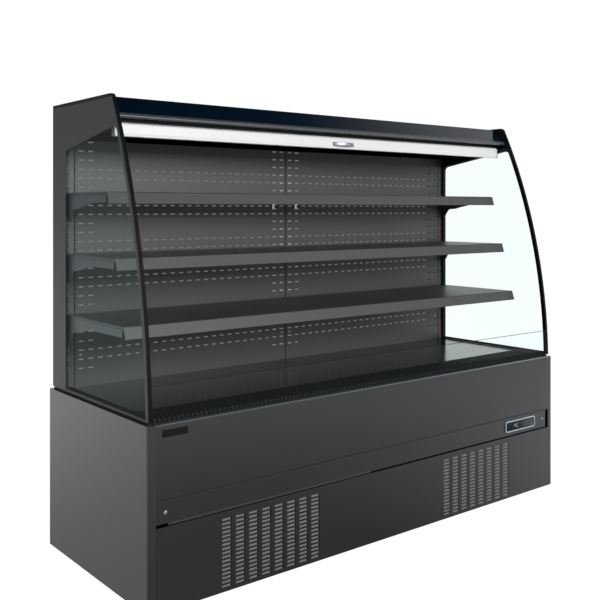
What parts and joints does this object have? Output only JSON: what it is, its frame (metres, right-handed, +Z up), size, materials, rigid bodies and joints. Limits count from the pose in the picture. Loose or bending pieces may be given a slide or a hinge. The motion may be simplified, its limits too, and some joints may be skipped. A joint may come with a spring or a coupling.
{
  "type": "open multideck display fridge",
  "caption": "Open-front refrigerated display cabinet with slotted base, ribbed deck, shelves, glazed curved sides, canopy lamp and pull-down night blind.",
  "frame": {"origin": "on the floor, under the centre of the base", "axes": "+Z up, -Y towards the customer, +X to the customer's right along the cabinet's length"},
  "size_m": [1.915, 0.699, 1.52],
  "materials": {
    "dark_steel": "satin",
    "foamed_panel": "satin skin over foam",
    "galvanised": "dull zinc",
    "black_trim": "satin",
    "clear_glass": "clear",
    "navy_fascia": "gloss",
    "white_alu": "powder coated",
    "white_lamp": "diffuse",
    "chrome": "polished",
    "blind_cloth": "woven",
    "black_plastic": "matt",
    "silver_plastic": "satin",
    "dark_display": "gloss",
    "coil_aluminium": "bare",
    "copper_pipe": "bare",
    "black_iron": "painted",
    "grey_plastic": "matt",
    "zinc_foot": "zinc plated"
  },
  "bodies": {
    "cabinet": {"air_outlet": "black_plastic", "back_panel_left": "dark_steel", "back_panel_right": "dark_steel", "base_frame": "galvanised", "blind_cassette": "white_alu", "blind_fabric": "blind_cloth", "canopy_fascia": "navy_fascia", "ceiling_panel": "dark_steel", "compressor": "black_iron", "condenser": "coil_aluminium", "condenser_shroud": "galvanised", "control_strip": "dark_steel", "controller_face": "dark_display", "controller_housing": "silver_plastic", "drain_pipe": "grey_plastic", "duct_cover": "dark_steel", "electrical_box": "grey_plastic", "evaporation_tray": "black_plastic", "evaporator": "coil_aluminium", "evaporator_fan_plate": "galvanised", "front_edge_trims": "black_trim", "front_glass": "clear_glass", "front_panel": "dark_steel", "insulated_tank": "foamed_panel", "lamp": "white_lamp", "rear_base_panel": "galvanised", "rear_wall": "foamed_panel", "refrigerant_pipes": "copper_pipe", "roof": "foamed_panel", "shelf_brackets": "dark_steel", "side_frame_left": "dark_steel", "side_frame_right": "dark_steel", "side_glass_left": "clear_glass", "side_glass_right": "clear_glass", "side_panel_left": "dark_steel", "side_panel_right": "dark_steel", "uprights": "dark_steel"},
    "blind_bar": {"blind_bar": "white_alu", "blind_handle": "chrome"},
    "blind_roller": {"blind_roller": "coil_aluminium"},
    "condenser_fan": {"condenser_fan": "black_plastic"},
    "evaporator_fan_1": {"evaporator_fan_1": "black_plastic"},
    "evaporator_fan_2": {"evaporator_fan_2": "black_plastic"},
    "shelf_1": {"shelf_1": "dark_steel"},
    "shelf_2": {"shelf_2": "dark_steel"},
    "shelf_3": {"shelf_3": "dark_steel"},
    "deck_left": {"deck_tray_left": "dark_steel"},
    "deck_right": {"deck_tray_right": "dark_steel"},
    "return_grid": {"air_return_grid": "dark_steel"},
    "lower_panel": {"lower_panel": "dark_steel"},
    "foot_1": {"foot_1": "zinc_foot"},
    "foot_2": {"foot_2": "zinc_foot"},
    "foot_3": {"foot_3": "zinc_foot"},
    "foot_4": {"foot_4": "zinc_foot"},
    "key_1": {"key_1": "silver_plastic"},
    "key_2": {"key_2": "silver_plastic"},
    "key_3": {"key_3": "silver_plastic"},
    "key_4": {"key_4": "silver_plastic"},
    "key_5": {"key_5": "silver_plastic"},
    "key_6": {"key_6": "silver_plastic"}
  },
  "joints": [
    {"name": "blind_pull", "type": "slide", "parent": "cabinet", "child": "blind_bar", "axis": [0, -0.3112, -0.9503], "range_m": [0, 0.771], "stiffness_N_per_m": 10, "springref_m": -1.5, "deforming": ["blind_fabric"]},
    {"name": "blind_roller_spin", "type": "hinge", "parent": "cabinet", "child": "blind_roller", "pos_m": [0, -0.068, 1.4545], "axis": [1, 0, 0], "range_deg": [0, 3340]},
    {"name": "condenser_fan_spin", "type": "hinge", "parent": "cabinet", "child": "condenser_fan", "pos_m": [-0.5125, -0.172, 0.136], "axis": [0, 1, 0], "continuous": true},
    {"name": "evaporator_fan_1_spin", "type": "hinge", "parent": "cabinet", "child": "evaporator_fan_1", "pos_m": [-0.42, -0.11925, 0.405], "axis": [0, 1, 0], "continuous": true},
    {"name": "evaporator_fan_2_spin", "type": "hinge", "parent": "cabinet", "child": "evaporator_fan_2", "pos_m": [0.42, -0.11925, 0.405], "axis": [0, 1, 0], "continuous": true},
    {"name": "shelf_1_lift", "type": "slide", "parent": "cabinet", "child": "shelf_1", "axis": [0, 0, 1], "range_m": [0, 0.05]},
    {"name": "shelf_2_lift", "type": "slide", "parent": "cabinet", "child": "shelf_2", "axis": [0, 0, 1], "range_m": [0, 0.05]},
    {"name": "shelf_3_lift", "type": "slide", "parent": "cabinet", "child": "shelf_3", "axis": [0, 0, 1], "range_m": [0, 0.05]},
    {"name": "deck_left_lift", "type": "slide", "parent": "cabinet", "child": "deck_left", "axis": [0, 0, 1], "range_m": [0, 0.12]},
    {"name": "deck_right_lift", "type": "slide", "parent": "cabinet", "child": "deck_right", "axis": [0, 0, 1], "range_m": [0, 0.12]},
    {"name": "return_grid_lift", "type": "slide", "parent": "cabinet", "child": "return_grid", "axis": [0, 0, 1], "range_m": [0, 0.09]},
    {"name": "lower_panel_pull", "type": "slide", "parent": "cabinet", "child": "lower_panel", "axis": [0, -1, 0], "range_m": [0, 0.2]},
    {"name": "foot_1_screw", "type": "slide", "parent": "cabinet", "child": "foot_1", "axis": [0, 0, -1], "range_m": [0, 0.02]},
    {"name": "foot_2_screw", "type": "slide", "parent": "cabinet", "child": "foot_2", "axis": [0, 0, -1], "range_m": [0, 0.02]},
    {"name": "foot_3_screw", "type": "slide", "parent": "cabinet", "child": "foot_3", "axis": [0, 0, -1], "range_m": [0, 0.02]},
    {"name": "foot_4_screw", "type": "slide", "parent": "cabinet", "child": "foot_4", "axis": [0, 0, -1], "range_m": [0, 0.02]},
    {"name": "key_1_press", "type": "slide", "parent": "cabinet", "child": "key_1", "axis": [0, 1, 0], "range_m": [0, 0.0008], "stiffness_N_per_m": 400, "springref_m": -0.0008},
    {"name": "key_2_press", "type": "slide", "parent": "cabinet", "child": "key_2", "axis": [0, 1, 0], "range_m": [0, 0.0008], "stiffness_N_per_m": 400, "springref_m": -0.0008},
    {"name": "key_3_press", "type": "slide", "parent": "cabinet", "child": "key_3", "axis": [0, 1, 0], "range_m": [0, 0.0008], "stiffness_N_per_m": 400, "springref_m": -0.0008},
    {"name": "key_4_press", "type": "slide", "parent": "cabinet", "child": "key_4", "axis": [0, 1, 0], "range_m": [0, 0.0008], "stiffness_N_per_m": 400, "springref_m": -0.0008},
    {"name": "key_5_press", "type": "slide", "parent": "cabinet", "child": "key_5", "axis": [0, 1, 0], "range_m": [0, 0.0008], "stiffness_N_per_m": 400, "springref_m": -0.0008},
    {"name": "key_6_press", "type": "slide", "parent": "cabinet", "child": "key_6", "axis": [0, 1, 0], "range_m": [0, 0.0008], "stiffness_N_per_m": 400, "springref_m": -0.0008}
  ],
  "couplings": [
    {"joint": "blind_roller_spin", "follows": "blind_pull", "rad_per_m": 75.5}
  ]
}
